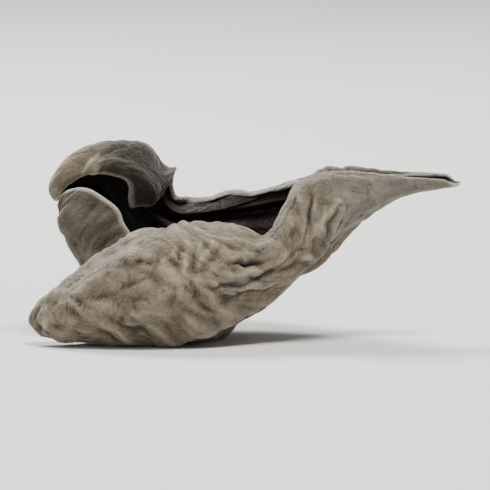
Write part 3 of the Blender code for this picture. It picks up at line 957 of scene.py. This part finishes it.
# %% [markdown]
# ## The velvet
#
# Dried velvet is a tan grey. It is paler along the rim, where the velvet wears thin or catches
# dust. On the ridges it is paler, partly from wear and partly as painted highlight, and in the
# creases it is darker, as painted shade. Its fine lines follow the sheet, so they are drawn in the
# sheet's own coordinates, which the mesh carries as `flow`. The hood's right part is a darker brown,
# partly its own colour and partly painted shade, the lobe is darkened with the same colour as
# painted shade, and the foot is greyer.
#
# A material is a tree of small nodes. The helpers below make one node each, so that a finish can
# be written down as plain steps.

# %% A short way to wire nodes
def new_material(name):
    """A material and its shader node."""
    material = bpy.data.materials.new(name)
    material.use_nodes = True
    return material, material.node_tree.nodes["Principled BSDF"]


def node(material, kind, settings=None, **inputs):
    """A new node with its settings, and each input set to a value or linked to a socket."""
    made = material.node_tree.nodes.new(kind)
    for key, value in (settings or {}).items():
        setattr(made, key, value)
    for key, value in inputs.items():
        socket = made.inputs[int(key[1:])] if key[1:].isdigit() else made.inputs[key]
        if isinstance(value, bpy.types.NodeSocket):
            material.node_tree.links.new(value, socket)
        else:
            socket.default_value = value
    return made


def stored(material, name, output="Fac"):
    """A value that the mesh stores."""
    return node(material, "ShaderNodeAttribute", {"attribute_name": name}).outputs[output]


def object_coordinates(material):
    """The place of a point in the object, in metres."""
    return node(material, "ShaderNodeTexCoord").outputs["Object"]


print("helpers that wire nodes are ready")

# %% Nodes for colours
def ramp(material, factor, stops):
    """A colour ramp with (place, colour) stops; returns its colour."""
    made = node(material, "ShaderNodeValToRGB", i0=factor)
    elements = made.color_ramp.elements
    while len(elements) < len(stops):
        elements.new(0.5)
    for element, (place, colour) in zip(elements, stops):
        element.position = place
        element.color = (*colour, 1.0)
    return made.outputs["Color"]


def tinted(material, colour, factor, tint):
    """The colour, turned to the tint as far as the factor says."""
    mix = {"data_type": "RGBA"}
    return node(material, "ShaderNodeMix", mix, i0=factor, i6=colour, i7=(*tint, 1.0)).outputs[2]


print("helpers for colours are ready")

# %% Nodes for numbers
def maths(material, operation, a, b=0.0, c=0.0):
    """One step of arithmetic on numbers."""
    return node(material, "ShaderNodeMath", {"operation": operation}, i0=a, i1=b, i2=c).outputs[0]


def summed(material, start, *parts):
    """The start plus the value times the weight of each (value, weight) part."""
    total = start
    for value, weight in parts:
        total = maths(material, "MULTIPLY_ADD", value, weight, total)
    return total


def between(material, value, low, high, to_low=0.0, to_high=1.0):
    """A number stretched from one range to another, and kept inside it."""
    made = node(material, "ShaderNodeMapRange", {"clamp": True}, i0=value,
                i1=low, i2=high, i3=to_low, i4=to_high)
    return made.outputs[0]


print("helpers for numbers are ready")

# %% Nodes for textures
ROUND_RIDGE = 0.6         # power that rounds the ridges between creases


def texture(material, vector, scale, detail, roughness, stretch=(1, 1, 1), distortion=0.0):
    """A noise texture's value on coordinates stretched by the given factors."""
    placed = node(material, "ShaderNodeMapping", Vector=vector, Scale=stretch).outputs[0]
    return node(material, "ShaderNodeTexNoise", Vector=placed, Scale=scale, Detail=detail,
                Roughness=roughness, Distortion=distortion).outputs["Fac"]


def creases(material, vector, steps, ridge, distortion):
    """Creases where a noise passes through its middle: 0 in them, 1 on the round ridges between.

    It is the distance of the noise from its middle, as a share of ridge, to the power ROUND_RIDGE.
    steps are the noise's lattice steps to one unit of each coordinate.
    """
    value = texture(material, vector, 1.0, 2.0, 0.5, steps, distortion)
    off = maths(material, "ABSOLUTE", maths(material, "SUBTRACT", value, 0.5))
    return maths(material, "POWER", between(material, off, 0.0, ridge), ROUND_RIDGE)


print("helpers for textures are ready")

# %% Velvet: its layers, from the long creases down to the felt
velvet, velvet_shader = new_material("velvet_tan")
flow_at = stored(velvet, "flow", "Vector")
object_at = object_coordinates(velvet)
long_lines = creases(velvet, flow_at, steps=(0.50, 0.74, 1.0), ridge=0.26, distortion=0.9)
short_lines = creases(velvet, object_at, steps=(1000.0,) * 3, ridge=0.30, distortion=0.9)
crackle = creases(velvet, object_at, steps=(2500.0,) * 3, ridge=0.32, distortion=0.6)
felt = texture(velvet, object_at, scale=5200.0, detail=3.0, roughness=0.65)
patches = texture(velvet, object_at, scale=620.0, detail=5.0, roughness=0.68)

RELIEF_LEVEL = -0.33      # brings the mean of the relief to about 0
LONG_WEIGHT = 0.45
SHORT_WEIGHT = 0.34
CRACKLE_WEIGHT = 0.20
relief = summed(velvet, RELIEF_LEVEL, (long_lines, LONG_WEIGHT), (short_lines, SHORT_WEIGHT),
                (crackle, CRACKLE_WEIGHT))
print("velvet layers:", len(velvet.node_tree.nodes), "nodes so far")

# %% Velvet: painted shade in the creases and highlight on the ridges, by how high the skin stands
VELVET_DARK = (0.030, 0.021, 0.013)
VELVET_MID = (0.142, 0.113, 0.073)
VELVET_PALE = (0.310, 0.256, 0.178)
TONE_LEVEL = 0.46         # tone of flat skin, from 0, dark, to 1, pale
# Wrinkles and fine creases set the tone: painted shade in the creases, painted highlight on ridges.
WRINKLE_WEIGHT = 0.28
RELIEF_WEIGHT = 0.36
PATCH_TONE = 0.16         # how much lighter and darker the patches are
FELT_TONE = 0.09          # and the fibres of the felt

patch_tone = between(velvet, patches, low=0.30, high=0.70, to_low=-PATCH_TONE, to_high=PATCH_TONE)
felt_tone = between(velvet, felt, low=0.25, high=0.75, to_low=-FELT_TONE, to_high=FELT_TONE)
tone = summed(velvet, TONE_LEVEL, (stored(velvet, "wrinkle"), WRINKLE_WEIGHT),
              (relief, RELIEF_WEIGHT), (patch_tone, 1.0), (felt_tone, 1.0))
colour = ramp(velvet, tone, ((0.08, VELVET_DARK), (0.48, VELVET_MID), (0.92, VELVET_PALE)))
print("velvet tones:", len(velvet.node_tree.nodes), "nodes so far")

# %% Velvet: the foot, the marks, the hood and the rim
FOOT_GREY = (0.090, 0.084, 0.075)
# Ridge marks turn paler: partly wear, partly painted highlight.
VELVET_WEAR_AND_HIGHLIGHT = (0.420, 0.355, 0.260)
# Crease marks, such as the eye-shaped fold and the groove at the wing's back lip, get painted shade.
VELVET_CREASE_SHADE = (0.018, 0.012, 0.008)
# Partly the hood's own darker brown and partly painted shade; on the lobe it is painted shade alone.
HOOD_BROWN_AND_SHADE = (0.014, 0.010, 0.007)
VELVET_RIM = (0.420, 0.385, 0.320)
FOOT_TINT = 0.60          # how far the foot turns grey, from 0 to 1
HOOD_TINT = 0.90          # and the hood's darker brown, which is partly painted shade

mark = stored(velvet, "mark")
# Paler ridge marks, partly from wear and partly as painted highlight.
wear_and_highlight = between(velvet, mark, low=0.20, high=1.0, to_low=0.0, to_high=0.70)
# Darker crease marks, as painted shade.
deep = between(velvet, mark, low=-0.3, high=-1.0, to_low=0.0, to_high=0.75)
edge = between(velvet, stored(velvet, "rim"), low=0.02, high=0.34, to_low=0.75, to_high=0.0)
foot = maths(velvet, "MULTIPLY", stored(velvet, "foot"), FOOT_TINT)
# Painted shade on the lobe, and partly on the hood, whose darker brown is also its own.
hood_brown_and_shade = maths(velvet, "MULTIPLY", stored(velvet, "hood"), HOOD_TINT)
colour = tinted(velvet, colour, foot, FOOT_GREY)
colour = tinted(velvet, colour, wear_and_highlight, VELVET_WEAR_AND_HIGHLIGHT)
colour = tinted(velvet, colour, deep, VELVET_CREASE_SHADE)
colour = tinted(velvet, colour, hood_brown_and_shade, HOOD_BROWN_AND_SHADE)
colour = tinted(velvet, colour, edge, VELVET_RIM)
velvet.node_tree.links.new(colour, velvet_shader.inputs["Base Color"])
print("velvet colours:", len(velvet.node_tree.nodes), "nodes so far")

# %% Velvet: its sheen and its bumps
FELT_WEIGHT = 0.25        # share of the felt in the bumps
velvet_shader.inputs["Roughness"].default_value = 0.86
velvet_shader.inputs["Sheen Weight"].default_value = 0.32
velvet_shader.inputs["Sheen Roughness"].default_value = 0.50
velvet_shader.inputs["Sheen Tint"].default_value = (0.90, 0.87, 0.82, 1.0)
velvet_shader.inputs["Specular IOR Level"].default_value = 0.30
fuzz = summed(velvet, relief, (felt, FELT_WEIGHT))
bump = node(velvet, "ShaderNodeBump", Strength=1.0, Distance=0.18 * MM, Height=fuzz)
velvet.node_tree.links.new(bump.outputs[0], velvet_shader.inputs["Normal"])
print(velvet.name, len(velvet.node_tree.nodes), "nodes")

# %% [markdown]
# ## The dark side
#
# The underside of a wood ear, which is the inside of this curl, carries the spores. It dries to a
# smooth, slightly shiny skin, nearly black with a trace of red brown where light gets through,
# and with a faint grey bloom in places.

# %% Dark skin: its layers
dark, dark_shader = new_material("dark_skin")
flow_at = stored(dark, "flow", "Vector")
object_at = object_coordinates(dark)
streaks = texture(dark, flow_at, scale=1.0, detail=4.0, roughness=0.55, stretch=(0.30, 0.80, 1.0),
                  distortion=0.8)
clouds = texture(dark, object_at, scale=420.0, detail=4.0, roughness=0.6)
veins = creases(dark, flow_at, steps=(0.45, 0.90, 1.0), ridge=0.24, distortion=0.9)
net = creases(dark, object_at, steps=(1300.0,) * 3, ridge=0.28, distortion=0.7)
grain = texture(dark, object_at, scale=4200.0, detail=2.0, roughness=0.6)
print("dark layers:", len(dark.node_tree.nodes), "nodes so far")

# %% Dark skin: its colour, gloss and bumps
DARK_SKIN = (0.013, 0.009, 0.008)
RED_BROWN = (0.040, 0.023, 0.016)
BLOOM = (0.075, 0.066, 0.060)
NET_WEIGHT = 0.45
GRAIN_WEIGHT = 0.25

bloomed = between(dark, clouds, low=0.55, high=0.80, to_low=0.0, to_high=0.35)
veined = between(dark, veins, low=0.0, high=1.0, to_low=0.45, to_high=0.0)
colour = ramp(dark, streaks, ((0.30, DARK_SKIN), (0.75, RED_BROWN)))
colour = tinted(dark, colour, bloomed, BLOOM)
colour = tinted(dark, colour, veined, DARK_SKIN)
dull = between(dark, clouds, low=0.35, high=0.70, to_low=0.42, to_high=0.62)
dark.node_tree.links.new(colour, dark_shader.inputs["Base Color"])
dark.node_tree.links.new(dull, dark_shader.inputs["Roughness"])
dark_shader.inputs["Specular IOR Level"].default_value = 0.40
dark_relief = summed(dark, veins, (net, NET_WEIGHT), (grain, GRAIN_WEIGHT))
bump = node(dark, "ShaderNodeBump", Strength=0.7, Distance=0.08 * MM, Height=dark_relief)
dark.node_tree.links.new(bump.outputs[0], dark_shader.inputs["Normal"])
print(dark.name, len(dark.node_tree.nodes), "nodes")

# %% [markdown]
# The velvet wraps round the rim, so the first faces of the dark side, up to about 0.2 mm from the
# edge, still belong to it.

# %% Finish of each face
RIM_WRAP = 0.22           # how far the velvet reaches round the rim, mm
ear.data.materials.append(velvet)
ear.data.materials.append(dark)
dark_side = per_point(edge_distance)[dark_faces].mean(axis=1) > RIM_WRAP
finish = np.concatenate([np.zeros(len(velvet_faces), int), dark_side.astype(int)])
ear.data.polygons.foreach_set("material_index", finish)
ear.data.update()
print(int(dark_side.sum()), "dark faces")

# %% [markdown]
# ## The piece and the part
#
# The finer sheet takes the place of the solid ear, and moves with the part's only body.

# %% Put the ear on the part
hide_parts("wood_ear")
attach(ear, "root")
print("ear rides on root")

# %% [markdown]
# ## Floor, light and camera
#
# A plain pale floor and three large, soft lights, as in a small studio tent. The main light comes
# from high above the front right and rakes down over the wrinkles. The second, low at the front
# left, fills the shadows, and the third, from behind the left, draws the upper rims. The camera
# looks from the front, only a little from above, through a long lens.

# %% Floor
FLOOR_HALF = 3.0          # half the floor's side, metres
FLOOR_COLOUR = (0.72, 0.71, 0.69, 1.0)
corners = [(x * FLOOR_HALF, y * FLOOR_HALF, 0.0) for x, y in ((-1, -1), (1, -1), (1, 1), (-1, 1))]
floor_mesh = bpy.data.meshes.new("floor")
floor_mesh.from_pydata(corners, [], [(0, 1, 2, 3)])
floor = bpy.data.objects.new("floor", floor_mesh)
bpy.context.scene.collection.objects.link(floor)
pale, pale_shader = new_material("pale_floor")
pale_shader.inputs["Base Color"].default_value = FLOOR_COLOUR
pale_shader.inputs["Roughness"].default_value = 0.9
floor_mesh.materials.append(pale)
print("floor ready")

# %% Lights
# name, place and size in metres, watts
LAMPS = (
    ("key", (0.10, -0.16, 0.42), 0.14, 3.0),
    ("fill", (-0.30, -0.34, 0.16), 0.30, 0.35),
    ("rim", (-0.14, 0.26, 0.30), 0.16, 2.8),
)
LIT_POINT = (0.0, 0.0, 0.006)  # where they point, a little above the floor, metres


def soft_light(name, place, size, watts):
    """A square lamp of the given size in metres, turned to the ear."""
    lamp = bpy.data.lights.new(name, "AREA")
    lamp.size = size
    lamp.energy = watts
    holder = bpy.data.objects.new(name, lamp)
    holder.location = place
    holder.rotation_euler = (Vector(LIT_POINT) - Vector(place)).to_track_quat("-Z", "Y").to_euler()
    bpy.context.scene.collection.objects.link(holder)


for lamp in LAMPS:
    soft_light(*lamp)
print(len(LAMPS), "lamps")

# %% Sky
SKY_COLOUR = (0.95, 0.97, 1.0, 1.0)
SKY_STRENGTH = 0.30
world = bpy.data.worlds.new("studio")
bpy.context.scene.world = world
world.use_nodes = True
world.node_tree.nodes["Background"].inputs["Color"].default_value = SKY_COLOUR
world.node_tree.nodes["Background"].inputs["Strength"].default_value = SKY_STRENGTH
print("a pale sky of strength", SKY_STRENGTH)

# %% Camera
ELEVATION = 5.0           # degrees above the horizon
DISTANCE = 0.54           # metres from the ear
SPAN = 0.0325             # width of the picture at the ear, metres
LOOK_AT = (0.0, 0.0, 0.0062)  # middle of the picture, metres

camera_data = bpy.data.cameras.new("camera")
camera_data.lens = camera_data.sensor_width * DISTANCE / SPAN
camera_data.clip_start = 0.01
camera_data.clip_end = 20.0
camera = bpy.data.objects.new("camera", camera_data)
bpy.context.scene.collection.objects.link(camera)
lift = math.radians(ELEVATION)
back = Vector((0.0, -math.cos(lift), math.sin(lift)))
camera.location = Vector(LOOK_AT) + back * DISTANCE
camera.rotation_euler = (-back).to_track_quat("-Z", "Y").to_euler()
bpy.context.scene.camera = camera
print("lens:", round(camera_data.lens), "mm")
